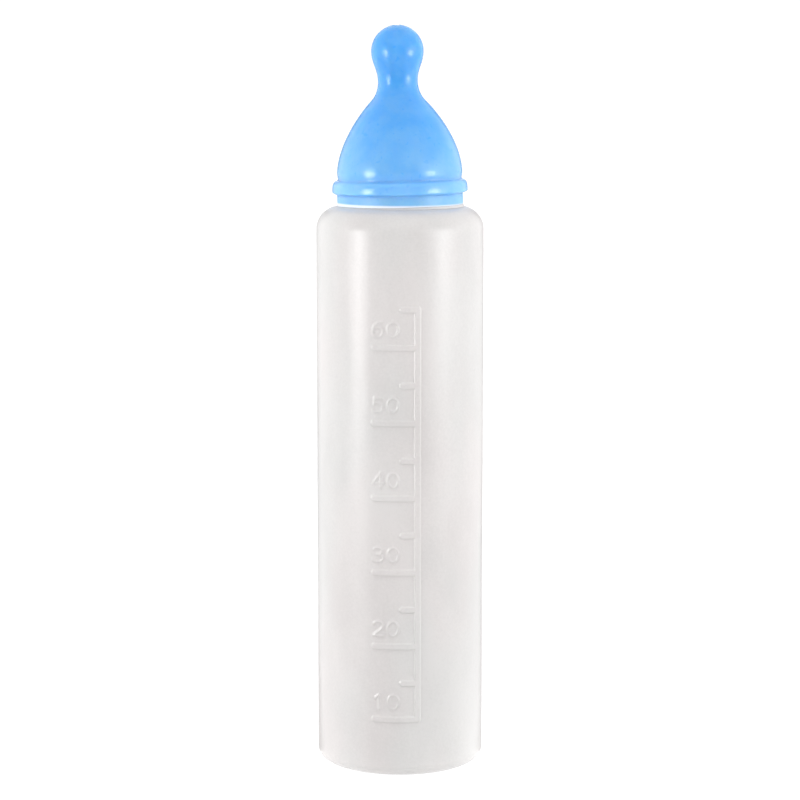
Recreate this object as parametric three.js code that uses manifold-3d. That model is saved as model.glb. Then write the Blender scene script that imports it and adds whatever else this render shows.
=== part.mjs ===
// Calf feeding bottle: a blow-moulded bottle with a raised scale, and a pull-on rubber teat with a ball vent.
// Millimetres, +Z up, the front with the scale faces -Y, and the origin is at the middle of the base.
import * as THREE from 'three';
import { mergeVertices } from 'three/addons/utils/BufferGeometryUtils.js';
import Module from 'manifold-3d';

const wasm = await Module();
wasm.setup();

// Bottle
const BODY_RADIUS = 48.5;
const WALL = 1.4;
const SHOULDER_HEIGHT = 326;
const SHOULDER_ROUND = 13;
const BASE_ROUND = 6;
const FOOT_INNER_RADIUS = 37.5;
const PUNT_HEIGHT = 4;
const PUNT_FLAT_RADIUS = 28;

// Neck, under the teat's skirt
const NECK_RADIUS = 32.4;
const MOUTH_RADIUS = 30.8;
const RIM_HEIGHT = 341;
const RIM_CHAMFER = 0.6;
const BEAD_RADIUS = 33.6;
const BEAD_HEIGHT = 336.7;
const BEAD_HALF_HEIGHT = 2.4;

// Raised scale: one mark every 5 units, with a figure at every 10
const MARK_ZERO_HEIGHT = -8.9;
const UNIT_PITCH = 4.3;
const FIRST_MARK = 10;
const LAST_MARK = 65;
const MARK_STEP = 5;
const RAIL_ANGLE = 11.8;
const LONG_MARK_ANGLE = -20.3;
const SHORT_MARK_ANGLE = -0.7;
const MARK_WIDTH = 4.4;
const MARK_RELIEF = 0.7;
const RELIEF_ROOT = 0.7;
const FIGURE_HEIGHT = 10.4;
const FIGURE_RISE = 5.2;
const FIGURE_ANGLE = -19.8;
const FIGURE_WIDTH_ANGLE = 9.4;
const FIGURE_STEP_ANGLE = 10.2;
const STROKE = 2;
const STROKE_RELIEF = 0.5;

// Teat
const RUBBER = 2.4;
const SKIRT_HEIGHT = 327;
const SKIRT_RADIUS = 36.25;
const SKIRT_BORE = BEAD_RADIUS + 0.3;
const BAND_HEIGHT = 337.3;
const BAND_RADIUS = 39;
const BAND_HALF_HEIGHT = 3.5;
const LIP_RADIUS = 31.8;
const LIP_THICKNESS = 2.1;
const DOME_RADIUS = 36;
const DOME_FOOT_HEIGHT = 346;
const FLARE_RADIUS = 15.3;
const FLARE_HEIGHT = 386.8;
const FLARE_SLOPE = 0.95;
const WAIST_RADIUS = 11.3;
const WAIST_HEIGHT = 397.8;
const BULB_RADIUS = 14.9;
const BULB_HEIGHT = 414.9;
const TIP_HOLE_RADIUS = 1.5;

// Ball vent, on an axis through the back of the dome. Distances along the axis count from the dome's skin outwards.
const VENT_RADIUS_OUT = 29.9;
const VENT_HEIGHT = 366.3;
const VENT_TILT = 25;
const PAD_RADIUS = 7.2;
const PAD_FACE = 0.4;
const PAD_BACK = -3.6;
const BARREL_RADIUS = 3;
const BARREL_END = -5;
const FLANGE_RADIUS = 5.5;
const FLANGE_THICKNESS = 1.4;
const AIR_HOLE_RADIUS = 0.9;
const SEAT_TOP = 0.4;
const CHAMBER_RADIUS = 2.3;
const BALL_RADIUS = 2;
const BALL_OPEN = -3;
const CAGE_RADIUS = 4.8;
const CAGE_PLATE = 1.5;
const CAGE_HOLES = 4;
const CAGE_HOLE_RADIUS = 0.55;
const CAGE_HOLE_CIRCLE = 2.2;

const GAP = 0.3;
const SIDES = 40;
const VENT_SIDES = 20;
const CURVE_STEPS = 3;
const SKIN_CURVE_STEPS = 4;

const HDPE = new THREE.MeshStandardMaterial({ color: 0xe6e4e0, roughness: 0.45, metalness: 0 });
const BLUE_RUBBER = new THREE.MeshStandardMaterial({ color: 0x62acf2, roughness: 0.5, metalness: 0 });
const STEEL = new THREE.MeshStandardMaterial({ color: 0xbfc2c4, roughness: 0.3, metalness: 1 });

const radians = THREE.MathUtils.degToRad;

// Turns a profile of (radius, height) points about the Z axis.
function turned(points, sides = SIDES) {
  return new THREE.LatheGeometry(points, sides).rotateX(Math.PI / 2);
}

function solidFrom(geometry) {
  const bare = geometry.clone();
  bare.deleteAttribute('normal');
  bare.deleteAttribute('uv');
  const merged = mergeVertices(bare, 1e-4);
  const triVerts = Uint32Array.from(merged.index.array);
  const vertProperties = Float32Array.from(merged.attributes.position.array);
  return new wasm.Manifold(new wasm.Mesh({ numProp: 3, vertProperties, triVerts }));
}

function geometryFrom(solid) {
  const { vertProperties, triVerts } = solid.getMesh();
  const geometry = new THREE.BufferGeometry();
  geometry.setAttribute('position', new THREE.BufferAttribute(vertProperties, 3));
  geometry.setIndex(new THREE.BufferAttribute(triVerts, 1));
  geometry.computeVertexNormals();
  return geometry;
}

// A bar lying on the bottle's side: an arc of the wall between two angles, counted from the front towards +X.
function wallBar(fromAngle, toAngle, bottom, top, relief) {
  const start = radians(fromAngle - 90);
  const end = radians(toAngle - 90);
  const outline = new THREE.Shape();
  outline.absarc(0, 0, BODY_RADIUS + relief, start, end, false);
  outline.absarc(0, 0, BODY_RADIUS - RELIEF_ROOT, end, start, true);
  const curveSegments = Math.max(1, Math.round((toAngle - fromAngle) / 12));
  const bar = new THREE.ExtrudeGeometry(outline, { depth: top - bottom, bevelEnabled: false, curveSegments });
  return solidFrom(bar.translate(0, 0, bottom));
}

// The seven strokes of a plain figure, each [left, right, bottom, top] as shares of the figure's width and height.
const STROKES = {
  top: [0, 1, 1, 1],
  upperLeft: [0, 0, 0.5, 1],
  upperRight: [1, 1, 0.5, 1],
  middle: [0, 1, 0.5, 0.5],
  lowerLeft: [0, 0, 0, 0.5],
  lowerRight: [1, 1, 0, 0.5],
  bottom: [0, 1, 0, 0],
};
const FIGURES = {
  0: ['top', 'upperLeft', 'upperRight', 'lowerLeft', 'lowerRight', 'bottom'],
  1: ['upperRight', 'lowerRight'],
  2: ['top', 'upperRight', 'middle', 'lowerLeft', 'bottom'],
  3: ['top', 'upperRight', 'middle', 'lowerRight', 'bottom'],
  4: ['upperLeft', 'upperRight', 'middle', 'lowerRight'],
  5: ['top', 'upperLeft', 'middle', 'lowerRight', 'bottom'],
  6: ['top', 'upperLeft', 'middle', 'lowerLeft', 'lowerRight', 'bottom'],
};

function figureBars(digit, leftAngle, bottom) {
  const half = STROKE / 2;
  const halfAngle = THREE.MathUtils.radToDeg(half / BODY_RADIUS);
  const across = FIGURE_WIDTH_ANGLE - 2 * halfAngle;
  const up = FIGURE_HEIGHT - STROKE;
  return FIGURES[digit].map((name) => {
    const [left, right, low, high] = STROKES[name];
    const fromAngle = leftAngle + across * left;
    const toAngle = leftAngle + across * right + 2 * halfAngle;
    return wallBar(fromAngle, toAngle, bottom + up * low, bottom + up * high + STROKE, STROKE_RELIEF);
  });
}

function markHeight(mark) {
  return MARK_ZERO_HEIGHT + UNIT_PITCH * mark;
}

function scaleBars() {
  const half = MARK_WIDTH / 2;
  const halfAngle = THREE.MathUtils.radToDeg(half / BODY_RADIUS);
  const railRight = RAIL_ANGLE + halfAngle;
  const railBottom = markHeight(FIRST_MARK) - half;
  const railTop = markHeight(LAST_MARK) + half;
  const bars = [wallBar(RAIL_ANGLE - halfAngle, railRight, railBottom, railTop, MARK_RELIEF)];
  for (let mark = FIRST_MARK; mark <= LAST_MARK; mark += MARK_STEP) {
    const height = markHeight(mark);
    const long = mark % 10 === 0;
    const fromAngle = long ? LONG_MARK_ANGLE : SHORT_MARK_ANGLE;
    bars.push(wallBar(fromAngle, railRight, height - half, height + half, MARK_RELIEF));
    if (long) {
      [...String(mark)].forEach((digit, place) => {
        const leftAngle = FIGURE_ANGLE + FIGURE_STEP_ANGLE * place;
        bars.push(...figureBars(digit, leftAngle, height + FIGURE_RISE));
      });
    }
  }
  return bars;
}

function bottleProfile() {
  const shoulderMiddle = SHOULDER_HEIGHT - SHOULDER_ROUND;
  const footRadius = BODY_RADIUS - BASE_ROUND;
  const bendRadius = (PUNT_FLAT_RADIUS + FOOT_INNER_RADIUS) / 2;
  const crown = BODY_RADIUS - SHOULDER_ROUND;
  const beadSwell = BEAD_RADIUS - NECK_RADIUS;
  const puntInside = PUNT_HEIGHT + WALL;
  const path = new THREE.Path();
  // Outside: punt, foot ring, side wall, shoulder, neck with its bead, rim
  path.moveTo(0, PUNT_HEIGHT);
  path.lineTo(PUNT_FLAT_RADIUS, PUNT_HEIGHT);
  path.bezierCurveTo(bendRadius, PUNT_HEIGHT, bendRadius, 0, FOOT_INNER_RADIUS, 0);
  path.absarc(footRadius, BASE_ROUND, BASE_ROUND, -Math.PI / 2, 0, false);
  path.absarc(crown, shoulderMiddle, SHOULDER_ROUND, 0, Math.PI / 2, false);
  path.lineTo(NECK_RADIUS + RIM_CHAMFER, SHOULDER_HEIGHT);
  path.lineTo(NECK_RADIUS, SHOULDER_HEIGHT + RIM_CHAMFER);
  path.absellipse(NECK_RADIUS, BEAD_HEIGHT, beadSwell, BEAD_HALF_HEIGHT, -Math.PI / 2, Math.PI / 2);
  path.lineTo(NECK_RADIUS, RIM_HEIGHT - RIM_CHAMFER);
  path.lineTo(NECK_RADIUS - RIM_CHAMFER, RIM_HEIGHT);
  path.lineTo(MOUTH_RADIUS, RIM_HEIGHT);
  // Inside: one wall's thickness in, back down to the middle
  path.lineTo(MOUTH_RADIUS, SHOULDER_HEIGHT - WALL);
  path.absarc(crown, shoulderMiddle, SHOULDER_ROUND - WALL, Math.PI / 2, 0, true);
  path.absarc(footRadius, BASE_ROUND, BASE_ROUND - WALL, 0, -Math.PI / 2, true);
  path.lineTo(FOOT_INNER_RADIUS, WALL);
  path.bezierCurveTo(bendRadius, WALL, bendRadius, puntInside, PUNT_FLAT_RADIUS, puntInside);
  path.lineTo(0, puntInside);
  return path.getPoints(CURVE_STEPS);
}

function bottleGeometry() {
  const shell = solidFrom(turned(bottleProfile()));
  return geometryFrom(scaleBars().reduce((solid, bar) => solid.add(bar), shell));
}

// The teat's skin from the top of its band to the edge of the tip hole.
function teatSkin() {
  const path = new THREE.Path();
  path.moveTo(DOME_RADIUS, DOME_FOOT_HEIGHT);
  const domeRise = 14;
  const crownDrop = 11;
  const flareX = FLARE_RADIUS + FLARE_SLOPE * crownDrop;
  const flareY = FLARE_HEIGHT - crownDrop;
  path.bezierCurveTo(DOME_RADIUS, DOME_FOOT_HEIGHT + domeRise, flareX, flareY, FLARE_RADIUS, FLARE_HEIGHT);
  const flareRise = 2.8;
  const waistDrop = 4.5;
  const bendX = FLARE_RADIUS - FLARE_SLOPE * flareRise;
  const bendY = FLARE_HEIGHT + flareRise;
  path.bezierCurveTo(bendX, bendY, WAIST_RADIUS, WAIST_HEIGHT - waistDrop, WAIST_RADIUS, WAIST_HEIGHT);
  const swell = 6.5;
  const bulbFoot = BULB_HEIGHT - swell;
  path.bezierCurveTo(WAIST_RADIUS, WAIST_HEIGHT + swell, BULB_RADIUS, bulbFoot, BULB_RADIUS, BULB_HEIGHT);
  path.absarc(0, BULB_HEIGHT, BULB_RADIUS, 0, Math.acos(TIP_HOLE_RADIUS / BULB_RADIUS), false);
  return path.getPoints(SKIN_CURVE_STEPS);
}

// The same line moved inwards by the rubber's thickness, ending at the tip hole.
function insideOf(skin) {
  return skin.map((point, i) => {
    const before = skin[Math.max(0, i - 1)];
    const after = skin[Math.min(skin.length - 1, i + 1)];
    const along = new THREE.Vector2().subVectors(after, before).normalize();
    const radius = Math.max(TIP_HOLE_RADIUS, point.x - along.y * RUBBER);
    return new THREE.Vector2(radius, point.y + along.x * RUBBER);
  });
}

function teatProfile() {
  const edge = 0.6;
  const bandSwell = BAND_RADIUS - SKIRT_RADIUS;
  const lipBottom = RIM_HEIGHT + GAP;
  const lipTop = lipBottom + LIP_THICKNESS;
  const skirt = new THREE.Path();
  skirt.moveTo(LIP_RADIUS, lipTop);
  skirt.lineTo(LIP_RADIUS, lipBottom);
  skirt.lineTo(SKIRT_BORE, lipBottom);
  skirt.lineTo(SKIRT_BORE, SKIRT_HEIGHT);
  skirt.lineTo(SKIRT_RADIUS - edge, SKIRT_HEIGHT);
  skirt.lineTo(SKIRT_RADIUS, SKIRT_HEIGHT + edge);
  skirt.absellipse(SKIRT_RADIUS, BAND_HEIGHT, bandSwell, BAND_HALF_HEIGHT, -Math.PI / 2, Math.PI / 2);
  const skin = teatSkin();
  const inside = insideOf(skin).reverse();
  const outline = [...skirt.getPoints(CURVE_STEPS), ...skin, ...inside];
  return [...outline, outline[0]];
}

// A profile of (radius, distance along the vent's axis), turned and set on that axis.
function onVentAxis(geometry) {
  geometry.rotateX(radians(VENT_TILT - 90));
  return geometry.translate(0, VENT_RADIUS_OUT, VENT_HEIGHT);
}

function points(pairs) {
  return pairs.map(([radius, height]) => new THREE.Vector2(radius, height));
}

// A plain rod about Z between two distances.
function rod(radius, bottom, top, sides = VENT_SIDES) {
  return turned(points([[0, bottom], [radius, bottom], [radius, top], [0, top]]), sides);
}

function teatGeometry() {
  const pad = solidFrom(onVentAxis(rod(PAD_RADIUS, PAD_BACK, PAD_FACE)));
  const bore = solidFrom(onVentAxis(rod(BARREL_RADIUS + GAP, PAD_BACK - 1, PAD_FACE + 1)));
  const shell = solidFrom(turned(teatProfile()));
  return geometryFrom(shell.add(pad).subtract(bore));
}

function ventBodyGeometry() {
  const flangeBottom = PAD_FACE + GAP;
  const flangeTop = flangeBottom + FLANGE_THICKNESS;
  const chamfer = 0.4;
  const seatBottom = SEAT_TOP - (CHAMBER_RADIUS - AIR_HOLE_RADIUS);
  const profile = points([
    [AIR_HOLE_RADIUS, flangeTop],
    [AIR_HOLE_RADIUS, SEAT_TOP],
    [CHAMBER_RADIUS, seatBottom],
    [CHAMBER_RADIUS, BARREL_END],
    [BARREL_RADIUS, BARREL_END],
    [BARREL_RADIUS, flangeBottom],
    [FLANGE_RADIUS, flangeBottom],
    [FLANGE_RADIUS, flangeTop - chamfer],
    [FLANGE_RADIUS - chamfer, flangeTop],
    [AIR_HOLE_RADIUS, flangeTop],
  ]);
  return onVentAxis(turned(profile, VENT_SIDES));
}

function ventCageGeometry() {
  const top = PAD_BACK - GAP;
  const plateTop = BARREL_END - GAP;
  const plateBottom = plateTop - CAGE_PLATE;
  const cup = points([
    [0, plateBottom],
    [CAGE_RADIUS, plateBottom],
    [CAGE_RADIUS, top],
    [BARREL_RADIUS + GAP, top],
    [BARREL_RADIUS + GAP, plateTop],
    [0, plateTop],
  ]);
  let cage = solidFrom(turned(cup, VENT_SIDES));
  for (let i = 0; i < CAGE_HOLES; i += 1) {
    const angle = ((i + 0.5) * 2 * Math.PI) / CAGE_HOLES;
    const hole = rod(CAGE_HOLE_RADIUS, plateBottom - 1, plateTop + 1, 12);
    hole.translate(CAGE_HOLE_CIRCLE * Math.cos(angle), CAGE_HOLE_CIRCLE * Math.sin(angle), 0);
    cage = cage.subtract(solidFrom(hole));
  }
  return onVentAxis(geometryFrom(cage));
}

function ventBallGeometry() {
  const ball = new THREE.SphereGeometry(BALL_RADIUS, 16, 12).rotateX(Math.PI / 2);
  return onVentAxis(ball.translate(0, 0, BALL_OPEN));
}

function piece(name, geometry, material) {
  const mesh = new THREE.Mesh(geometry, material);
  mesh.name = name;
  return mesh;
}

const feedingBottle = new THREE.Group();
feedingBottle.add(
  piece('bottle', bottleGeometry(), HDPE),
  piece('teat', teatGeometry(), BLUE_RUBBER),
  piece('vent_body', ventBodyGeometry(), STEEL.clone()),
  piece('vent_ball', ventBallGeometry(), STEEL.clone()),
  piece('vent_cage', ventCageGeometry(), STEEL.clone()),
);

export default feedingBottle;
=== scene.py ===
"""Looks of the calf feeding bottle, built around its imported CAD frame.

The bottle is a thin blow-moulded shell with a raised scale, and the teat a thin rubber moulding pulled
over its neck, with a ball vent in the back of its dome. Each CAD node is replaced by a finer mesh of the
same size in the same place. The object's sizes are in millimetres and become metres when a mesh is made.
An angle round the bottle is in degrees from the front (-Y), growing towards +X.
"""

import math

import bpy
import numpy as np
from mathutils import Matrix, Vector


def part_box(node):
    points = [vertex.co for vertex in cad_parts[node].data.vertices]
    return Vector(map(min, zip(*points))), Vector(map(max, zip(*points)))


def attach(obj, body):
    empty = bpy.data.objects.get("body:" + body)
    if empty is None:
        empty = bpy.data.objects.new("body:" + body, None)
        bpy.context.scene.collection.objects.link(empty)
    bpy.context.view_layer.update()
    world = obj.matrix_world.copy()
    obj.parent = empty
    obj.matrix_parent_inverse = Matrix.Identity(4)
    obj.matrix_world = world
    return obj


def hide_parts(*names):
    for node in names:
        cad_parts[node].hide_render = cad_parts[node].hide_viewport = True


MM = 0.001
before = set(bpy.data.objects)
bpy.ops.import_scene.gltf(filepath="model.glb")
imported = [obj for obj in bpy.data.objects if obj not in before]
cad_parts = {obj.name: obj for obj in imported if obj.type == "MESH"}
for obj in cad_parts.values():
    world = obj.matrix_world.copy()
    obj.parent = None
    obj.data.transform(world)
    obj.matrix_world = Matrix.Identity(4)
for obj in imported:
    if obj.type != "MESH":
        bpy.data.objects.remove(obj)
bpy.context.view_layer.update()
BOTTLE_HIGH = np.array(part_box("bottle")[1]) / MM
TEAT_LOW, TEAT_HIGH = (np.array(corner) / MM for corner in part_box("teat"))

# Bottle
BODY_R = BOTTLE_HIGH[0]
RIM_Z = BOTTLE_HIGH[2]
WALL = 1.4
SHOULDER_Z = RIM_Z - 15
SHOULDER_ROUND = 13
BASE_ROUND = 6
FOOT_INNER_R = 37.5
PUNT_FLAT_R = 28
PUNT_Z = 4
NECK_R = 32.4
MOUTH_R = 30.8
BEAD_R = 33.6
BEAD_Z = RIM_Z - 4.3
BEAD_HALF = 2.4
COLLAR_R = 36.8
COLLAR_HEIGHT = 0.95
EDGE_ROUND = 0.6
WARP = 0.14
PARTING_RIDGE = 0.15

# Raised scale
MARK_ZERO_Z = -8.9
UNIT_PITCH = 4.3
FIRST_MARK = 10
LAST_MARK = 65
MARK_STEP = 5
RAIL_ANGLE = 11.8
LONG_MARK_ANGLE = -20.3
SHORT_MARK_ANGLE = -0.7
MARK_HALF_WIDTH = 2.2
RAIL_HALF_WIDTH = 2.15
MARK_RELIEF = 0.69
FIGURE_ANGLE = -19.8
FIGURE_STEP_ANGLE = 10.2
FIGURE_WIDTH = 6.0
FIGURE_HEIGHT = 8.2
FIGURE_RISE = 6.3
FIGURE_HALF_STROKE = 1.15
FIGURE_RELIEF = 0.69
MARK_EDGE = 0.8
RAIL_EDGE = 0.8

# Teat
RUBBER = 2.4
SKIRT_Z = TEAT_LOW[2]
BAND_R = TEAT_HIGH[0]
SKIRT_R = BAND_R - 2.75
BAND_Z = SKIRT_Z + 10.3
BAND_HALF = 3.5
SKIRT_BORE = BEAD_R + 0.3
LIP_R = 31.8
LIP_Z = RIM_Z + 0.3
LIP_THICKNESS = 2.1
DOME_R = BAND_R - 3.0
DOME_WIDEST_Z = BAND_Z + 8.7
DOME_FOOT_ROUND = 15
DOME_RISE = 13.5
FLARE_R = 15.3
FLARE_Z = SKIRT_Z + 59.8
FLARE_SLOPE = 0.95
WAIST_R = 11.3
WAIST_Z = SKIRT_Z + 70.8
BULB_R = 14.9
BULB_Z = SKIRT_Z + 87.6
TIP_HOLE_R = 1.5
LEAN = 1.1

# Ball vent: an axis through the back of the dome, with distances counted outwards from the dome's skin
VENT_R = 29.9
VENT_Z = SKIRT_Z + 39.3
VENT_TILT = 25
PAD_R = 6.8
PAD_FACE = 0.4
PAD_BACK = -3.6
BARREL_R = 3.0
BARREL_END = -5.0
FLANGE_R = 5.5
FLANGE_LOW = 0.7
FLANGE_TOP = 2.1
AIR_HOLE_R = 0.9
SEAT_TOP = 0.4
CHAMBER_R = 2.3
BALL_R = 2.0
BALL_OPEN = -3.0
CAGE_R = 4.8
CAGE_TOP = -3.9
CAGE_FLOOR = -5.3
CAGE_END = -6.8
CAGE_HOLES = 4
CAGE_HOLE_R = 0.55
CAGE_HOLE_CIRCLE = 2.2

# Studio: brightness where 1 is paper white, and lengths in metres
FRONT_LIGHT = 0.31
SIDE_LIGHT = 1.45
BACK_LIGHT = 1.1
TOP_LIGHT = 1.05
FLOOR_GLOW = 0.97
FLOOR_FRONT = 0.34
SCREEN_DISTANCE = 2.4
SCREEN_SPREAD = 96
SCREEN_HEIGHT = 1.9
SCREEN_COLUMNS = 49
CLOTH_EDGE = 0.0495
CLOTH_HEIGHT = 0.0005
CLOTH_FADE = 0.09
FLOOR_RADIUS = 30
FLAG_SIZE = (0.36, 0.9)
FLAG_DISTANCE = 1.5
FLAG_FROM_BACK = 19
FLAG_FOOT = (0.049, 0.065)
FLAG_FOOT_HEIGHT = 0.001
CAMERA_LENS = 107.8
CAMERA_PLACE = (0, -1.386, 0.4077)
CAMERA_DOWN = 8.0

# Soft lights round the bottle: name, azimuth, elevation, distance, size, brightness
RIGHT_SCREEN = ("right_screen", 62, 5, 1.25, (1.15, 0.75), 1.25)
LEFT_SOFTBOX = ("left_softbox", -57, -2.5, 1.1, (0.34, 0.44), 11)
RIGHT_SOFTBOX = ("right_softbox", 60, -1, 1.2, (0.42, 0.36), 8)


# ---------------------------------------------------------------- outlines

def arc(centre, radius, start, end, steps):
    """Points of (radius, height) on an arc, with its angles in degrees."""
    turn = np.radians(np.linspace(start, end, steps + 1))
    return np.stack([centre[0] + radius * np.cos(turn), centre[1] + radius * np.sin(turn)], axis=1)


def cubic(a, b, c, d, steps):
    """Points on the Bezier curve from a to d with handles b and c."""
    t = np.linspace(0, 1, steps + 1)[:, None]
    a, b, c, d = (np.array(p, float) for p in (a, b, c, d))
    return a * (1 - t) ** 3 + 3 * b * t * (1 - t) ** 2 + 3 * c * t**2 * (1 - t) + d * t**3


def joined(*stretches):
    """One line from several, without the points that two of them share."""
    points = np.concatenate([np.atleast_2d(np.array(s, float)) for s in stretches])
    step = np.linalg.norm(np.diff(points, axis=0), axis=1)
    return points[np.concatenate([[True], step > 1e-6])]


def outward(line, closed=False):
    """Unit normals on the right of a line of (radius, height), which is the outside of a profile."""
    if closed:
        along = np.roll(line, -1, axis=0) - np.roll(line, 1, axis=0)
    else:
        along = np.gradient(line, axis=0)
    normal = np.stack([along[:, 1], -along[:, 0]], axis=1)
    return normal / np.linalg.norm(normal, axis=1, keepdims=True)


def smooth_step(low, high, value):
    """0 up to low, 1 from high, and a soft rise between them."""
    t = np.clip((value - low) / (high - low), 0, 1)
    return t * t * (3 - 2 * t)


def spaced(low, high, stretches, coarse):
    """Numbers from low up to high. Each (from, to, step) stretch has its own step, the rest is coarse."""
    parts = []
    at = low
    for start, end, step in sorted(stretches) + [(high, high, coarse)]:
        parts.append(np.linspace(at, start, math.ceil((start - at) / coarse - 1e-9), endpoint=False))
        parts.append(np.linspace(start, end, math.ceil((end - start) / step - 1e-9), endpoint=False))
        at = end
    return np.concatenate(parts)


def angles_round(stretches, coarse):
    """Angles in degrees once round, closer together inside the given (from, to, step) stretches."""
    return spaced(-180.0, 180.0, stretches, coarse)


# ---------------------------------------------------------------- meshes

def new_object(name, points, faces):
    """A smooth-shaded object from points in millimetres."""
    mesh = bpy.data.meshes.new(name)
    mesh.from_pydata((np.asarray(points) * MM).tolist(), [], faces)
    mesh.validate()
    mesh.shade_smooth()
    piece = bpy.data.objects.new(name, mesh)
    bpy.context.scene.collection.objects.link(piece)
    return piece


def quads(rows, columns, closed_rows, closed_columns=True):
    """Faces of a grid of points, whose rows and columns may each join up into a ring."""
    i = np.arange(rows if closed_rows else rows - 1)[:, None]
    j = np.arange(columns if closed_columns else columns - 1)[None, :]
    down, across = (i + 1) % rows, (j + 1) % columns
    corners = [i * columns + j, i * columns + across, down * columns + across, down * columns + j]
    return np.stack(np.broadcast_arrays(*corners), axis=-1).reshape(-1, 4).tolist()


def turned_object(name, radius, height, angles, closed=False):
    """A turned skin from grids of radius and height, one row per profile point and one column per angle.

    A profile that isn't closed starts and ends on the axis, where each end is one point.
    """
    turn = np.radians(angles - 90)[None, :]
    grid = np.stack([radius * np.cos(turn), radius * np.sin(turn), height + 0 * turn], axis=-1)
    rows, columns = radius.shape
    if closed:
        return new_object(name, grid.reshape(-1, 3), quads(rows, columns, True))
    inner = grid[1:-1].reshape(-1, 3)
    faces = quads(rows - 2, columns, False)
    first, last = len(inner), len(inner) + 1
    top = (rows - 3) * columns
    for j in range(columns):
        following = (j + 1) % columns
        faces.append([first, following, j])
        faces.append([last, top + j, top + following])
    ends = [grid[0].mean(axis=0), grid[-1].mean(axis=0)]
    return new_object(name, np.concatenate([inner, ends]), faces)


def cut(piece, cutter):
    """Cuts one closed mesh out of another and throws the cutter away."""
    bool_mod = piece.modifiers.new("cut", "BOOLEAN")
    bool_mod.operation = "DIFFERENCE"
    bool_mod.solver = "MANIFOLD"
    bool_mod.object = cutter
    bpy.context.view_layer.update()
    made = bpy.data.meshes.new_from_object(piece.evaluated_get(bpy.context.evaluated_depsgraph_get()))
    piece.modifiers.clear()
    piece.data = made
    bpy.data.objects.remove(cutter)


# ---------------------------------------------------------------- the raised scale

def oval(centre, radii, start, end, steps):
    """Part of an oval in a figure's own box, which is 1 wide and 1 high."""
    turn = np.radians(np.linspace(start, end, steps + 1))
    return np.stack([centre[0] + radii[0] * np.cos(turn), centre[1] + radii[1] * np.sin(turn)], axis=1)


def figure_lines(digit):
    """The strokes of a plain rounded figure, as lines in a box 1 wide and 1 high."""
    if digit == "0":
        return [oval((0.5, 0.5), (0.5, 0.5), 0, 360, 20)]
    if digit == "1":
        return [np.array([(0.22, 0.78), (0.56, 1.0), (0.56, 0.0)])]
    if digit == "2":
        hook = oval((0.5, 0.7), (0.46, 0.3), 165, -40, 12)
        return [np.concatenate([hook, [(0.04, 0.0), (0.98, 0.0)]])]
    if digit == "3":
        upper = oval((0.46, 0.76), (0.42, 0.24), 150, -90, 10)
        lower = oval((0.46, 0.26), (0.5, 0.26), 90, -155, 12)
        return [upper, lower]
    if digit == "4":
        return [np.array([(0.74, 0.0), (0.74, 1.0), (0.02, 0.3), (1.0, 0.3)])]
    if digit == "5":
        bowl = oval((0.46, 0.33), (0.5, 0.33), 130, -150, 14)
        return [np.concatenate([[(0.92, 1.0), (0.2, 1.0), (0.14, 0.56)], bowl])]
    stem = oval((0.72, 0.38), (0.7, 0.62), 80, 180, 8)
    return [stem, oval((0.5, 0.32), (0.48, 0.32), 0, 360, 18)]


def arc_length(angle):
    return math.radians(angle) * BODY_R


def mark_height(mark):
    return MARK_ZERO_Z + UNIT_PITCH * mark


def scale_strokes():
    """(line, half width, edge width, relief) of each raised stroke, flat on the wall."""
    rail = arc_length(RAIL_ANGLE)
    ends = [(rail, mark_height(FIRST_MARK)), (rail, mark_height(LAST_MARK))]
    strokes = [(np.array(ends), RAIL_HALF_WIDTH, RAIL_EDGE, MARK_RELIEF)]
    size = np.array([FIGURE_WIDTH, FIGURE_HEIGHT])
    for mark in range(FIRST_MARK, LAST_MARK + 1, MARK_STEP):
        height = mark_height(mark)
        figured = mark % 10 == 0
        left = arc_length(LONG_MARK_ANGLE if figured else SHORT_MARK_ANGLE) + MARK_HALF_WIDTH
        line = np.array([(left, height), (rail, height)])
        strokes.append((line, MARK_HALF_WIDTH, MARK_EDGE, MARK_RELIEF))
        for place, digit in enumerate(str(mark) if figured else ""):
            left = arc_length(FIGURE_ANGLE + FIGURE_STEP_ANGLE * place) + FIGURE_HALF_STROKE
            corner = np.array([left, height + FIGURE_RISE])
            for line in figure_lines(digit):
                line = corner + line * size
                strokes.append((line, FIGURE_HALF_STROKE, FIGURE_HALF_STROKE, FIGURE_RELIEF))
    return strokes


def distance_to_line(across, up, line):
    """How far each point of two grids is from a line of straight pieces."""
    nearest = np.full(across.shape, np.inf)
    for (x0, y0), (x1, y1) in zip(line[:-1], line[1:]):
        dx, dy = x1 - x0, y1 - y0
        share = np.clip(((across - x0) * dx + (up - y0) * dy) / (dx * dx + dy * dy), 0, 1)
        nearest = np.minimum(nearest, np.hypot(across - x0 - share * dx, up - y0 - share * dy))
    return nearest


def scale_relief(angles, heights):
    """How far the scale stands out of the wall at each height and angle."""
    across = arc_length(1) * angles[None, :] + 0 * heights[:, None]
    up = heights[:, None] + 0 * across
    relief = np.zeros(across.shape)
    for line, half_width, edge, height in scale_strokes():
        away = distance_to_line(across, up, line)
        swell = height * np.clip((half_width - away) / edge, 0, 1)
        relief = np.maximum(relief, swell)
    return relief


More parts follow.
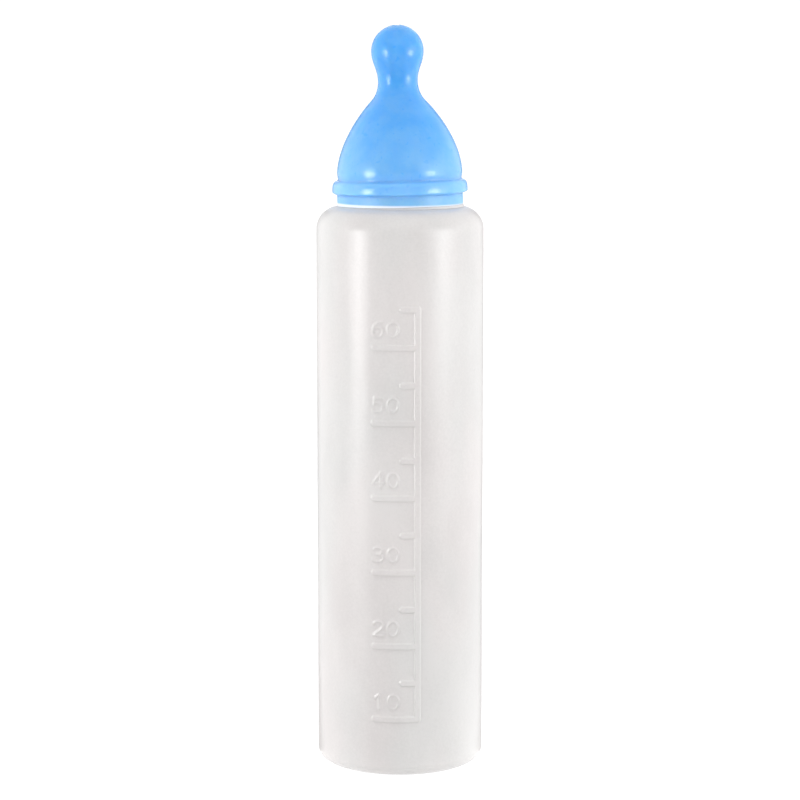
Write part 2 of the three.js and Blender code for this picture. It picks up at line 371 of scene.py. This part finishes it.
def wall_heights(low, high):
    """Heights of the side wall's rows, close together at each mark's edges and across its figures."""
    edge_row, top_row, figure_row, plain_row = 0.28, 0.8, 0.5, 3.0
    outer, inner = MARK_HALF_WIDTH + 0.15, MARK_HALF_WIDTH - MARK_EDGE - 0.15
    beyond = FIGURE_HALF_STROKE + 0.15
    spans = []
    for mark in range(FIRST_MARK, LAST_MARK + 1, MARK_STEP):
        middle = mark_height(mark)
        spans.append((middle - outer, middle - inner, edge_row))
        spans.append((middle - inner, middle + inner, top_row))
        spans.append((middle + inner, middle + outer, edge_row))
        if mark % 10 == 0:
            foot = middle + FIGURE_RISE
            spans.append((foot - beyond, foot + FIGURE_HEIGHT + beyond, figure_row))
    return np.append(spaced(low, high, spans, plain_row), high)


def wall_angles():
    """Angles of the bottle's columns, close together on the scale, the rail's edges and the mould lines."""
    scale_column, edge_column, plain_column = 0.42, 0.17, 4.0
    outer = math.degrees((RAIL_HALF_WIDTH + 0.12) / BODY_R)
    inner = math.degrees((RAIL_HALF_WIDTH - RAIL_EDGE - 0.12) / BODY_R)
    spans = [
        (-91.2, -88.8, 0.4),
        (LONG_MARK_ANGLE - 2, RAIL_ANGLE - outer, scale_column),
        (RAIL_ANGLE - outer, RAIL_ANGLE - inner, edge_column),
        (RAIL_ANGLE - inner, RAIL_ANGLE + inner, scale_column),
        (RAIL_ANGLE + inner, RAIL_ANGLE + outer, edge_column),
        (88.8, 91.2, 0.4),
    ]
    return angles_round(spans, plain_column)


# ---------------------------------------------------------------- bottle

def bottle_skin():
    """The outside from the middle of the base to the mouth's edge."""
    foot_r = BODY_R - BASE_ROUND
    bend_r = (PUNT_FLAT_R + FOOT_INNER_R) / 2
    crown_r = BODY_R - SHOULDER_ROUND
    crown_z = SHOULDER_Z - SHOULDER_ROUND
    wall = wall_heights(BASE_ROUND, crown_z)
    edge = EDGE_ROUND
    top = SHOULDER_Z + COLLAR_HEIGHT
    collar_foot = [(COLLAR_R + 0.4, SHOULDER_Z), (COLLAR_R, SHOULDER_Z)]
    collar_top = [(COLLAR_R, top), (COLLAR_R - 0.5, top)]
    bead = arc((0, 0), 1, -90, 90, 14) * [BEAD_R - NECK_R, BEAD_HALF] + [NECK_R, BEAD_Z]
    return joined(
        cubic((0, PUNT_Z), (9, PUNT_Z), (18, PUNT_Z), (PUNT_FLAT_R, PUNT_Z), 10),
        cubic((PUNT_FLAT_R, PUNT_Z), (bend_r, PUNT_Z), (bend_r, 0), (FOOT_INNER_R, 0), 12),
        arc((foot_r, BASE_ROUND), BASE_ROUND, -90, 0, 14),
        np.stack([np.full(len(wall), BODY_R), wall], axis=1),
        arc((crown_r, crown_z), SHOULDER_ROUND, 0, 90, 24),
        cubic(*collar_foot, *collar_top, 6),
        (NECK_R + 0.4, top),
        bead,
        arc((NECK_R - edge, RIM_Z - edge), edge, 0, 90, 5),
        arc((MOUTH_R + edge / 2, RIM_Z - edge / 2), edge / 2, 90, 180, 4),
    )


def bottle_inside():
    """The inside from the mouth's edge back down to the middle of the base."""
    foot_r = BODY_R - BASE_ROUND
    bend_r = (PUNT_FLAT_R + FOOT_INNER_R) / 2
    crown_r = BODY_R - SHOULDER_ROUND
    crown_z = SHOULDER_Z - SHOULDER_ROUND
    high = PUNT_Z + WALL
    root = 2.0
    wall = np.linspace(crown_z, BASE_ROUND, 24)
    return joined(
        arc((MOUTH_R + root, SHOULDER_Z - WALL + root), root, 180, 270, 5),
        arc((crown_r, crown_z), SHOULDER_ROUND - WALL, 90, 0, 10),
        np.stack([np.full(len(wall), BODY_R - WALL), wall], axis=1),
        arc((foot_r, BASE_ROUND), BASE_ROUND - WALL, 0, -90, 6),
        cubic((FOOT_INNER_R, WALL), (bend_r, WALL), (bend_r, high), (PUNT_FLAT_R, high), 8),
        (0, high),
    )


def wall_warp(angles, line):
    """The slow unevenness of a blown wall, inwards only, fading out on the foot and the shoulder.

    Near the mould line the wall also draws in, so that the ridge on it stays inside the body's size.
    """
    turn = np.radians(angles)[None, :]
    z = line[:, 1][:, None]
    wave = np.sin(2 * turn + z / 31 + 0.6)
    wave = wave + 0.8 * np.sin(3 * turn - z / 23 + 2.1)
    wave = wave + 0.6 * np.sin(z / 17 + 1.3)
    at_mould_line = PARTING_RIDGE * smooth_step(0.8, 1.0, np.abs(np.sin(turn)))
    return (-WARP * (0.5 + 0.2 * wave) - at_mould_line) * wall_share(z)


def wall_share(z):
    """1 on the side wall, falling to 0 on the foot and the shoulder's top."""
    return smooth_step(4, 16, z) * (1 - smooth_step(SHOULDER_Z - 4, SHOULDER_Z, z))


def parting_line(angles, line):
    """The fine ridge where the mould's halves met, up both sides, and the pinch scar across the base."""
    half_width = 0.8
    r, z = line[:, 0][:, None], line[:, 1][:, None]
    aside = np.abs(np.cos(np.radians(angles)))[None, :] * r
    ridge = PARTING_RIDGE * (1 - smooth_step(0.1, half_width, aside))
    under = (z < PUNT_Z + 0.1) & (r < PUNT_FLAT_R)
    scar = 0.5 * (1 - smooth_step(0.5, 1.5, aside)) * (1 - smooth_step(20, 24, r))
    on_neck = smooth_step(SHOULDER_Z - 1, SHOULDER_Z + 1, z)
    share = np.maximum(wall_share(z), 0.4 * on_neck)
    return np.where(under, scar, ridge * share)


def collar_rise(angles, line):
    """How far the collar's rows tilt up or down, to follow the leaning teat that stands on them."""
    r, z = line[:, :1], line[:, 1:]
    on_collar = (z > SHOULDER_Z) * (z < SHOULDER_Z + COLLAR_HEIGHT + 0.25) * (r > NECK_R + 0.1)
    share = on_collar * (z - SHOULDER_Z) / COLLAR_HEIGHT
    return share * math.radians(LEAN) * COLLAR_R * np.sin(np.radians(angles))[None, :]


def make_bottle():
    """The blown shell: its uneven skin with the scale, then its plain inside."""
    skin, inside = bottle_skin(), bottle_inside()
    angles = wall_angles()
    swell = wall_warp(angles, skin) + parting_line(angles, skin)
    on_wall = (skin[:, 1] > BASE_ROUND) & (skin[:, 1] < SHOULDER_Z - SHOULDER_ROUND)
    swell[on_wall] += scale_relief(angles, skin[on_wall, 1])
    normal = outward(skin)
    radius = skin[:, :1] + normal[:, :1] * swell
    height = skin[:, 1:] + normal[:, 1:] * swell + collar_rise(angles, skin)
    still = np.ones((1, len(angles)))
    radius = np.concatenate([radius, inside[:, :1] * still])
    height = np.concatenate([height, inside[:, 1:] * still])
    return turned_object("blown_bottle", radius, height, angles)


# ---------------------------------------------------------------- teat

def band_lines(groove):
    """The skirt's outside and the band over the neck's bead, up to the groove under the dome."""
    edge = 0.35
    low, high = BAND_Z - BAND_HALF, BAND_Z + BAND_HALF
    skirt_foot, skirt_top = (SKIRT_R, SKIRT_Z + 1.0), (SKIRT_R, low - 0.9)
    face_foot = (BAND_R - 0.05, low + 0.9)
    face_top = (BAND_R - 0.3, low + 4.9)
    groove_r, groove_z = groove
    groove_foot = (groove_r + 1.0, high + 0.35)
    return [
        arc((SKIRT_R - edge, SKIRT_Z + edge), edge, -90, 0, 6),
        np.linspace(skirt_foot, skirt_top, 6),
        cubic(skirt_top, (SKIRT_R + 0.1, low - 0.1), (BAND_R - 0.5, low), face_foot, 12),
        cubic(face_foot, (BAND_R + 0.02, low + 2.0), (BAND_R - 0.02, low + 3.2), face_top, 10),
        cubic(face_top, (BAND_R - 0.6, high - 0.9), (groove_r + 2.2, high - 0.1), groove_foot, 8),
        cubic(groove_foot, (groove_r + 0.4, high + 0.6), (groove_r, groove_z - 0.8), groove, 6),
    ]


def teat_skin():
    """The outside of the teat from the skirt's edge to the edge of the tip hole."""
    foot_drop, foot_rise = -14, 6
    foot = arc((DOME_R - DOME_FOOT_ROUND, DOME_WIDEST_Z), DOME_FOOT_ROUND, foot_drop, foot_rise, 12)
    leaning_in = math.radians(foot_rise)
    above_foot = foot[-1] + np.array([-math.sin(leaning_in), math.cos(leaning_in)]) * DOME_RISE
    crown_drop, bend_rise = 11, 2.8
    flare, waist, bulb = (FLARE_R, FLARE_Z), (WAIST_R, WAIST_Z), (BULB_R, BULB_Z)
    crown = (FLARE_R + FLARE_SLOPE * crown_drop, FLARE_Z - crown_drop)
    bend = (FLARE_R - FLARE_SLOPE * bend_rise, FLARE_Z + bend_rise)
    hole = math.degrees(math.acos(TIP_HOLE_R / BULB_R))
    return joined(
        *band_lines(tuple(foot[0])),
        foot,
        cubic(foot[-1], above_foot, crown, flare, 52),
        cubic(flare, bend, (WAIST_R, WAIST_Z - 4.5), waist, 16),
        cubic(waist, (WAIST_R, WAIST_Z + 6.5), (BULB_R, BULB_Z - 6.5), bulb, 20),
        arc((0, BULB_Z), BULB_R, 0, hole, 40),
    )


def teat_inside(skin):
    """The inside of the teat from the tip hole back down to the skirt's edge."""
    dome = skin[skin[:, 1] > DOME_WIDEST_Z][::-3]
    normal = outward(dome[::-1])[::-1]
    hollow = dome - normal * RUBBER
    hollow[:, 0] = np.maximum(hollow[:, 0], TIP_HOLE_R)
    hollow = hollow[hollow[:, 1] > LIP_Z + LIP_THICKNESS + 1]
    return joined(
        hollow,
        (LIP_R, LIP_Z + LIP_THICKNESS),
        (LIP_R, LIP_Z),
        (SKIRT_BORE, LIP_Z),
        np.linspace((SKIRT_BORE, LIP_Z), (SKIRT_BORE, SKIRT_Z + 0.3), 8),
        (SKIRT_BORE + 0.3, SKIRT_Z),
    )


def vent_frame():
    """The vent's start on the dome, and its unit direction outwards."""
    tilt = math.radians(VENT_TILT)
    return np.array([0, VENT_R, VENT_Z]), np.array([0, math.cos(tilt), math.sin(tilt)])


def thicken_at_vent(points, outside):
    """Moves a skin to the flat pad that the vent is clamped on, with a soft edge."""
    start, along = vent_frame()
    from_start = points - start
    out = from_start @ along
    aside = np.linalg.norm(from_start - out[..., None] * along, axis=-1)
    level = PAD_FACE if outside else PAD_BACK
    near = (1 - smooth_step(PAD_R, PAD_R + 1.6, aside)) * (out > -12)
    return points + ((level - out) * near)[..., None] * along


def lean(points):
    """The slight tilt of a teat pulled on by hand, fading out round the vent."""
    start, along = vent_frame()
    aside = np.linalg.norm(np.cross(points - start, along), axis=-1)
    loose = 1 - (1 - smooth_step(9, 24, aside)) * (points[..., 1] > 0)
    turn = math.radians(LEAN) * loose
    moved = points.copy()
    moved[..., 0] -= turn * (points[..., 2] - BAND_Z)
    moved[..., 2] += turn * points[..., 0]
    return moved


def teat_unevenness(angles, line):
    """Soft ripples of moulded rubber, the fine mould line up both sides and the cross cut in the tip."""
    turn = np.radians(angles)[None, :]
    r, z = line[:, 0][:, None], line[:, 1][:, None]
    ripple = 0.05 * (np.sin(3 * turn + z / 9) + np.sin(5 * turn - z / 14 + 1))
    seam = 0.12 * (1 - smooth_step(0.15, 0.7, np.abs(np.cos(turn)) * r))
    across = np.abs(np.sin(2 * (turn + math.pi / 4))) * r / 2
    slit = -0.5 * (1 - smooth_step(0.1, 0.45, across)) * (1 - smooth_step(3.4, 4.2, r)) * (z > BULB_Z)
    return ripple + seam + slit


def make_teat():
    """The moulded rubber piece: both skins thickened at the vent, leaning, with the vent's bore cut."""
    skin = teat_skin()
    inside = teat_inside(skin)
    back = [(-180, -158, 0.9), (158, 180, 0.9)]
    angles = angles_round(back + [(-91.2, -88.8, 0.6), (88.8, 91.2, 0.6)], 2.0)
    swell = teat_unevenness(angles, skin)
    normal = outward(skin)
    turn = np.radians(angles - 90)[None, :]
    grids = []
    for line, offset, direction in ((skin, swell, normal), (inside, 0 * turn, 0 * inside)):
        radius = line[:, :1] + direction[:, :1] * offset
        height = line[:, 1:] + direction[:, 1:] * offset + 0 * turn
        grid = np.stack([radius * np.cos(turn), radius * np.sin(turn), height], axis=-1)
        grids.append(thicken_at_vent(grid, outside=line is skin))
    points = lean(np.concatenate(grids))
    teat = new_object("pull_on_teat", points.reshape(-1, 3), quads(*points.shape[:2], True))
    bore_r, bore_low, bore_high = BARREL_R + 0.3, PAD_BACK - 2, 3
    bore = [(0, bore_low), (bore_r, bore_low), (bore_r, bore_high), (0, bore_high)]
    cut(teat, vent_turned("bore", bore, 48))
    teat.data.shade_smooth()
    return teat


# ---------------------------------------------------------------- ball vent

def vent_turned(name, profile, sides, closed=False):
    """A piece turned about the vent's axis, from (radius, distance outwards) points."""
    line = np.array(profile, float)
    angles = np.arange(sides) * 360 / sides - 180
    still = np.ones((1, sides))
    piece = turned_object(name, line[:, :1] * still, line[:, 1:] * still, angles, closed)
    start, along = vent_frame()
    turn = Vector((0, 0, 1)).rotation_difference(Vector(along)).to_matrix().to_4x4()
    piece.data.transform(turn)
    piece.data.transform(Matrix.Translation(Vector(start * MM)))
    return piece


def rounded(points, radius, steps=4):
    """A closed profile with each corner rounded."""
    points = np.array(points, float)
    line = []
    for before, corner, after in zip(np.roll(points, 1, axis=0), points, np.roll(points, -1, axis=0)):
        back, on = before - corner, after - corner
        reach = min(radius, np.linalg.norm(back) / 2.2, np.linalg.norm(on) / 2.2)
        a = corner + back / np.linalg.norm(back) * reach
        b = corner + on / np.linalg.norm(on) * reach
        line.append(cubic(a, corner, corner, b, steps))
    return joined(*line)


def make_vent_body():
    """The barrel through the dome, with its flange outside, its air hole and its ball seat."""
    seat_bottom = SEAT_TOP - (CHAMBER_R - AIR_HOLE_R)
    lead_in = 0.5
    face = FLANGE_TOP - 0.25
    profile = [
        (AIR_HOLE_R, SEAT_TOP),
        (CHAMBER_R, seat_bottom),
        (CHAMBER_R, BARREL_END),
        (BARREL_R, BARREL_END),
        (BARREL_R, FLANGE_LOW),
        (FLANGE_R, FLANGE_LOW),
        (FLANGE_R, FLANGE_TOP - 0.35),
        (FLANGE_R - 0.5, FLANGE_TOP),
        (FLANGE_R - 1.3, FLANGE_TOP),
        (FLANGE_R - 1.5, face),
        (AIR_HOLE_R + lead_in, face),
        (AIR_HOLE_R, face - lead_in),
    ]
    return vent_turned("vent_barrel", rounded(profile, 0.12), 72, closed=True)


def make_vent_cage():
    """The cup on the barrel's inner end, with a ring of holes in its floor."""
    corner = 0.3
    profile = [
        (0, CAGE_END),
        (CAGE_R - corner, CAGE_END),
        (CAGE_R, CAGE_END + corner),
        (CAGE_R, CAGE_TOP - corner),
        (CAGE_R - corner, CAGE_TOP),
        (BARREL_R + 0.3, CAGE_TOP),
        (BARREL_R + 0.3, CAGE_FLOOR),
        (0, CAGE_FLOOR),
    ]
    cage = vent_turned("vent_ball_cage", profile, 64)
    for i in range(CAGE_HOLES):
        turn = math.radians((i + 0.5) * 360 / CAGE_HOLES)
        cut(cage, hole_cutter(CAGE_HOLE_CIRCLE * math.cos(turn), CAGE_HOLE_CIRCLE * math.sin(turn)))
    cage.data.shade_smooth()
    return cage


def hole_cutter(x, y):
    """A rod through the cage's floor, beside the vent's axis."""
    low, high = CAGE_END - 1, CAGE_FLOOR + 1
    rod = vent_turned("hole", [(0, low), (CAGE_HOLE_R, low), (CAGE_HOLE_R, high), (0, high)], 24)
    _, along = vent_frame()
    across = np.array([1.0, 0, 0])
    up = np.cross(along, across)
    rod.data.transform(Matrix.Translation(Vector((across * x + up * y) * MM)))
    return rod


def make_vent_ball():
    """The ball, resting on the cage's floor."""
    half_circle = arc((0, BALL_OPEN), BALL_R, -90, 90, 32)
    half_circle[[0, -1], 0] = 0
    return vent_turned("vent_steel_ball", half_circle, 48)


# ---------------------------------------------------------------- materials

def new_material(name, **values):
    """A material with a Principled shader whose sockets take these values, and that shader."""
    material = bpy.data.materials.new(name)
    material.use_nodes = True
    shader = material.node_tree.nodes["Principled BSDF"]
    for socket, value in values.items():
        shader.inputs[socket.replace("_", " ")].default_value = value
    return material, shader


class Nodes:
    """Adds nodes to one material, each linked to the ones before it."""

    def __init__(self, material):
        self.tree = material.node_tree
        self.place = self.add("ShaderNodeTexCoord").outputs["Object"]

    def add(self, kind, inputs=None, **settings):
        node = self.tree.nodes.new(kind)
        for name, value in settings.items():
            setattr(node, name, value)
        for socket, value in (inputs or {}).items():
            self.put(node.inputs[socket], value)
        return node

    def put(self, socket, value):
        if isinstance(value, bpy.types.NodeSocket):
            self.tree.links.new(value, socket)
        else:
            socket.default_value = value

    def stretched(self, scale):
        return self.add("ShaderNodeMapping", {"Vector": self.place, "Scale": scale}).outputs["Vector"]

    def noise(self, scale, detail=2.0, roughness=0.5, vector=None):
        inputs = {"Vector": vector or self.place, "Scale": scale, "Detail": detail, "Roughness": roughness}
        return self.add("ShaderNodeTexNoise", inputs).outputs["Fac"]

    def ranged(self, value, low, high, to_low, to_high):
        inputs = {"Value": value, 1: low, 2: high, 3: to_low, 4: to_high}
        return self.add("ShaderNodeMapRange", inputs, interpolation_type="SMOOTHSTEP").outputs["Result"]

    def math(self, operation, a, b):
        return self.add("ShaderNodeMath", {0: a, 1: b}, operation=operation).outputs["Value"]

    def mixed(self, share, a, b):
        mix = self.add("ShaderNodeMix", data_type="RGBA")
        self.put(mix.inputs["Factor"], share)
        self.put(mix.inputs["A"], a)
        self.put(mix.inputs["B"], b)
        return mix.outputs["Result"]

    def bump(self, height, distance, strength, below=None):
        inputs = {"Height": height, "Distance": distance, "Strength": strength}
        if below is not None:
            inputs["Normal"] = below
        return self.add("ShaderNodeBump", inputs).outputs["Normal"]


def hdpe():
    """Natural polyethylene: milky, satin, faintly cloudy, with the fine grain of a blasted mould."""
    material, shader = new_material(
        "natural_hdpe",
        Subsurface_Weight=0.12,
        Subsurface_Radius=(1.0, 0.97, 0.92),
        Subsurface_Scale=0.0009,
        IOR=1.51,
    )
    nodes = Nodes(material)
    cloud = nodes.noise(28.0, 3.0, 0.55, nodes.stretched((1.0, 1.0, 0.45)))
    speck = nodes.noise(700.0, 2.0, 0.6)
    tone = nodes.math("ADD", nodes.math("MULTIPLY", cloud, 0.65), nodes.math("MULTIPLY", speck, 0.35))
    patch = nodes.ranged(nodes.noise(14.0, 2.0, 0.5, nodes.stretched((1.3, 1.3, 0.7))), 0.38, 0.62, 0, 1)
    dull = nodes.ranged(tone, 0.35, 0.65, 0, 1)
    pink = nodes.mixed(dull, (0.600, 0.575, 0.569, 1), (0.650, 0.623, 0.616, 1))
    plain = nodes.mixed(dull, (0.588, 0.579, 0.572, 1), (0.634, 0.624, 0.616, 1))
    nodes.put(shader.inputs["Base Color"], nodes.mixed(patch, pink, plain))
    nodes.put(shader.inputs["Roughness"], nodes.ranged(cloud, 0.3, 0.7, 0.285, 0.345))
    grain = nodes.noise(1500.0, 3.0, 0.6)
    ripple = nodes.noise(120.0, 2.0, 0.5)
    coarse = nodes.bump(ripple, 0.0006, 0.25)
    nodes.put(shader.inputs["Normal"], nodes.bump(grain, 0.00012, 0.5, coarse))
    return material


def blue_rubber():
    """Sky-blue moulded rubber: satin, slightly see-into, paler towards the skirt, with a painted white
    highlight along the skirt's lower edge.
    """
    material, shader = new_material(
        "sky_blue_rubber",
        Subsurface_Radius=(0.35, 0.8, 1.0),
        Subsurface_Scale=0.007,
        IOR=1.5,
    )
    nodes = Nodes(material)
    up = nodes.add("ShaderNodeSeparateXYZ", {"Vector": nodes.place}).outputs["Z"]
    # The third colour is a painted highlight: a whitish band along the skirt's bottom edge stands in for
    # light caught by that edge.
    deep, pale, painted_edge_highlight = (0.064, 0.352, 0.95, 1), (0.235, 0.515, 0.92, 1), (0.9, 0.92, 0.94, 1)
    height = nodes.ranged(up, (SKIRT_Z - 10) * MM, FLARE_Z * MM, 1, 0)
    edge = nodes.ranged(up, (SKIRT_Z + 0.5) * MM, (SKIRT_Z + 1.6) * MM, 0.85, 0)
    cloud = nodes.ranged(nodes.noise(70.0, 4.0, 0.65), 0.3, 0.7, 0, 0.26)
    speck = nodes.ranged(nodes.noise(330.0, 1.0), 0.66, 0.76, 0, 0.2)
    clouded = nodes.math("ADD", nodes.math("MULTIPLY", height, 0.82), cloud)
    shade = nodes.math("SUBTRACT", clouded, speck)
    blue = nodes.mixed(shade, deep, pale)
    nodes.put(shader.inputs["Base Color"], nodes.mixed(edge, blue, painted_edge_highlight))
    nodes.put(shader.inputs["Subsurface Weight"], nodes.ranged(edge, 0, 0.5, 0.7, 0))
    smear = nodes.ranged(nodes.noise(70.0, 3.0), 0.3, 0.7, 0.18, 0.215)
    handled = nodes.ranged(up, WAIST_Z * MM - 0.03, WAIST_Z * MM, 0, 0.05)
    matt_skirt = nodes.ranged(up, (BAND_Z - BAND_HALF - 1) * MM, (BAND_Z - BAND_HALF) * MM, 0.25, 0)
    finish = nodes.math("ADD", smear, nodes.math("ADD", handled, matt_skirt))
    nodes.put(shader.inputs["Roughness"], finish)
    ripple = nodes.bump(nodes.noise(160.0, 2.0), 0.0003, 0.12)
    nodes.put(shader.inputs["Normal"], nodes.bump(nodes.noise(1800.0, 2.0), 0.00006, 0.35, ripple))
    return material


def turned_steel(name, roughness, ring_depth):
    """Stainless steel with the fine rings of turning about the vent's axis."""
    material, shader = new_material(name, Base_Color=(0.62, 0.62, 0.61, 1), Metallic=1.0)
    nodes = Nodes(material)
    start, _ = vent_frame()
    tilt = math.radians(VENT_TILT - 90)
    on_axis = {"Vector": nodes.place, "Location": start * MM, "Rotation": (tilt, 0, 0)}
    moved = nodes.add("ShaderNodeMapping", on_axis, vector_type="TEXTURE").outputs["Vector"]
    fine = {"Vector": moved, "Scale": 900.0, "Distortion": 0.6}
    rings = nodes.add("ShaderNodeTexWave", fine, wave_type="RINGS", rings_direction="Z").outputs["Fac"]
    smear = nodes.noise(700.0, 3.0)
    nodes.put(shader.inputs["Roughness"], nodes.ranged(smear, 0.3, 0.7, roughness - 0.06, roughness + 0.08))
    nodes.put(shader.inputs["Normal"], nodes.bump(rings, ring_depth, 0.4))
    return material


def floor_paint():
    """A matt sheet that glows evenly, so that it looks white and hardly takes a shadow."""
    material, shader = new_material("pale_floor", Roughness=0.9, Specular_IOR_Level=0.1)
    nodes = Nodes(material)
    tone = nodes.noise(3.0, 2.0)
    nodes.put(shader.inputs["Base Color"], nodes.mixed(tone, (0.14, 0.14, 0.14, 1), (0.16, 0.16, 0.16, 1)))
    nodes.put(shader.inputs["Emission Color"], (1, 1, 1, 1))
    nodes.put(shader.inputs["Emission Strength"], FLOOR_GLOW)
    return material


# ---------------------------------------------------------------- studio

def make_floor():
    """A round white floor that runs far past what the camera sees."""
    corners = 96
    turn = np.arange(corners) * 2 * math.pi / corners
    points = np.stack([np.cos(turn), np.sin(turn), 0 * turn], axis=1) * FLOOR_RADIUS / MM
    floor = new_object("floor", points, [list(range(corners))])
    floor.data.materials.append(floor_paint())


def wall_light(nodes, way, front):
    """How bright the studio is in each direction: the camera's side, behind, beside and overhead."""
    split = nodes.add("ShaderNodeSeparateXYZ", {"Vector": way})
    aside = nodes.math("ABSOLUTE", split.outputs["X"], 0)
    behind = nodes.ranged(split.outputs["Y"], -0.95, 0.1, front, BACK_LIGHT)
    beside = nodes.ranged(aside, 0.45, 0.95, 0, SIDE_LIGHT - BACK_LIGHT)
    ceiling = nodes.ranged(split.outputs["Z"], 0.2, 0.65, 0, TOP_LIGHT)
    below = nodes.ranged(split.outputs["Z"], 0.2, 0.65, 1, 0)
    walls = nodes.math("MULTIPLY", nodes.math("ADD", behind, beside), below)
    return nodes.math("ADD", walls, ceiling)


def make_world():
    """White all round, brightest at the sides."""
    world = bpy.data.worlds.new("studio")
    world.use_nodes = True
    bpy.context.scene.world = world
    background = world.node_tree.nodes["Background"]
    background.inputs["Color"].default_value = (1, 1, 1, 1)
    nodes = Nodes(world)
    way = nodes.add("ShaderNodeTexCoord").outputs["Generated"]
    nodes.put(background.inputs["Strength"], wall_light(nodes, way, BACK_LIGHT))


def hidden_card(name, grid, material):
    """A bent card, from a grid of points in metres, that the bottle sees and the camera doesn't."""
    rows, columns = grid.shape[:2]
    card = new_object(name, grid.reshape(-1, 3) / MM, quads(rows, columns, False, False))
    card.data.materials.append(material)
    card.visible_camera = False


def make_front_screen():
    """A curved screen round the camera's side, dim in the middle, that keeps the bottle's front grey."""
    turn = np.radians(np.linspace(-SCREEN_SPREAD, SCREEN_SPREAD, SCREEN_COLUMNS))[None, :]
    height = np.array([0.0, SCREEN_HEIGHT])[:, None]
    across, away = SCREEN_DISTANCE * np.sin(turn), -SCREEN_DISTANCE * np.cos(turn)
    grid = np.stack(np.broadcast_arrays(across, away, height), axis=-1)
    material, shader = new_material("grey_screen", Base_Color=(0, 0, 0, 1), Emission_Color=(1, 1, 1, 1))
    nodes = Nodes(material)
    from_skirt = {0: nodes.place, 1: (0, 0, SKIRT_Z * MM)}
    reach = nodes.add("ShaderNodeVectorMath", from_skirt, operation="SUBTRACT").outputs[0]
    way = nodes.add("ShaderNodeVectorMath", {0: reach}, operation="NORMALIZE").outputs[0]
    nodes.put(shader.inputs["Emission Strength"], wall_light(nodes, way, FRONT_LIGHT))
    hidden_card("front_screen", grid, material)


def make_floor_cloth():
    """A grey cloth on the floor round the bottle's front, growing white towards its sides."""
    turn = np.radians(np.linspace(-90, 90, SCREEN_COLUMNS))[None, :]
    reach = np.array([CLOTH_EDGE, SCREEN_DISTANCE])[:, None]
    across, away = reach * np.sin(turn), -reach * np.cos(turn)
    grid = np.stack(np.broadcast_arrays(across, away, CLOTH_HEIGHT), axis=-1)
    cloth = {"Base_Color": (0.3, 0.3, 0.3, 1), "Emission_Color": (1, 1, 1, 1)}
    material, shader = new_material("grey_cloth", **cloth)
    nodes = Nodes(material)
    back = nodes.add("ShaderNodeSeparateXYZ", {"Vector": nodes.place}).outputs["Y"]
    glow = nodes.ranged(back, -CLOTH_FADE, 0, FLOOR_FRONT, FLOOR_GLOW)
    nodes.put(shader.inputs["Emission Strength"], glow)
    hidden_card("floor_cloth", grid, material)


def softbox(name, azimuth, elevation, distance, size, brightness):
    """A soft light round the bottle, aimed at the teat's skirt. Azimuth 0 is the camera's side.

    Its brightness is on the scale where 1 is paper white.
    """
    around, up = math.radians(azimuth - 90), math.radians(elevation)
    lamp = bpy.data.lights.new(name, "AREA")
    lamp.shape = "RECTANGLE"
    lamp.size, lamp.size_y = size
    lamp.energy = brightness * size[0] * size[1] * math.pi
    light = bpy.data.objects.new(name, lamp)
    away = Vector((math.cos(around) * math.cos(up), math.sin(around) * math.cos(up), math.sin(up)))
    light.location = Vector((0, 0, SKIRT_Z * MM)) + away * distance
    light.rotation_euler = away.to_track_quat("Z", "Y").to_euler()
    light.visible_camera = False
    bpy.context.scene.collection.objects.link(light)


def make_flag(side):
    """A dark card behind the bottle, seen only in its gloss, which draws a fine line along its edge.

    Side is 1 on the right and -1 on the left. The card stands on the floor behind and runs forward
    along it to the bottle's foot.
    """
    width, height = FLAG_SIZE
    turn = math.radians(90 - side * FLAG_FROM_BACK)
    middle = Vector((FLAG_DISTANCE * math.cos(turn), FLAG_DISTANCE * math.sin(turn), height / 2))
    across = Vector((math.sin(turn), -math.cos(turn), 0)) * width / 2
    up = Vector((0, 0, height / 2))
    upright = [middle - across - up, middle + across - up, middle + across + up, middle - across + up]
    foot = [Vector((x, 0, FLAG_FOOT_HEIGHT)) for x in sorted(side * x for x in FLAG_FOOT)]
    name = "flag_right" if side > 0 else "flag_left"
    card = new_object(name, np.array(upright + foot) / MM, [[0, 1, 2, 3], [0, 4, 5, 1]])
    material, _ = new_material("flag", Base_Color=(0.2, 0.2, 0.2, 1), Roughness=1.0)
    card.data.materials.append(material)
    card.visible_camera = False
    card.visible_diffuse = False
    card.visible_shadow = False
    card.visible_transmission = False


def make_camera():
    """Level with the teat's dome, nearly a metre and a half in front, looking down a little."""
    camera = bpy.data.cameras.new("camera")
    camera.sensor_width = 36
    camera.lens = CAMERA_LENS
    view = bpy.data.objects.new("camera", camera)
    view.location = CAMERA_PLACE
    view.rotation_euler = (math.radians(90 - CAMERA_DOWN), 0, 0)
    bpy.context.scene.collection.objects.link(view)
    bpy.context.scene.camera = view


# ---------------------------------------------------------------- assembly

def place(piece, material, body, node, slot):
    """Gives a piece its material, the body it rides and the CAD node it replaces. Its colour slot is not
    used.
    """
    piece.data.materials.clear()
    piece.data.materials.append(material)
    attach(piece, body)
    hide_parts(node)


make_camera()
make_world()
make_floor()
softbox(*RIGHT_SCREEN)
make_front_screen()
make_floor_cloth()
softbox(*LEFT_SOFTBOX)
softbox(*RIGHT_SOFTBOX)
make_flag(-1)
make_flag(1)
place(make_bottle(), hdpe(), "bottle", "bottle", "bottle_hdpe")
place(make_teat(), blue_rubber(), "teat", "teat", "teat_rubber")
turned = turned_steel("turned_steel", 0.28, 0.00003)
brushed = turned_steel("brushed_steel", 0.34, 0.00004)
polished = turned_steel("polished_steel", 0.12, 0.000002)
place(make_vent_body(), turned, "teat", "vent_body", "vent_steel")
place(make_vent_cage(), brushed, "teat", "vent_cage", "vent_steel")
place(make_vent_ball(), polished, "vent_ball", "vent_ball", "ball_steel")

bpy.context.scene.view_settings.view_transform = "Standard"
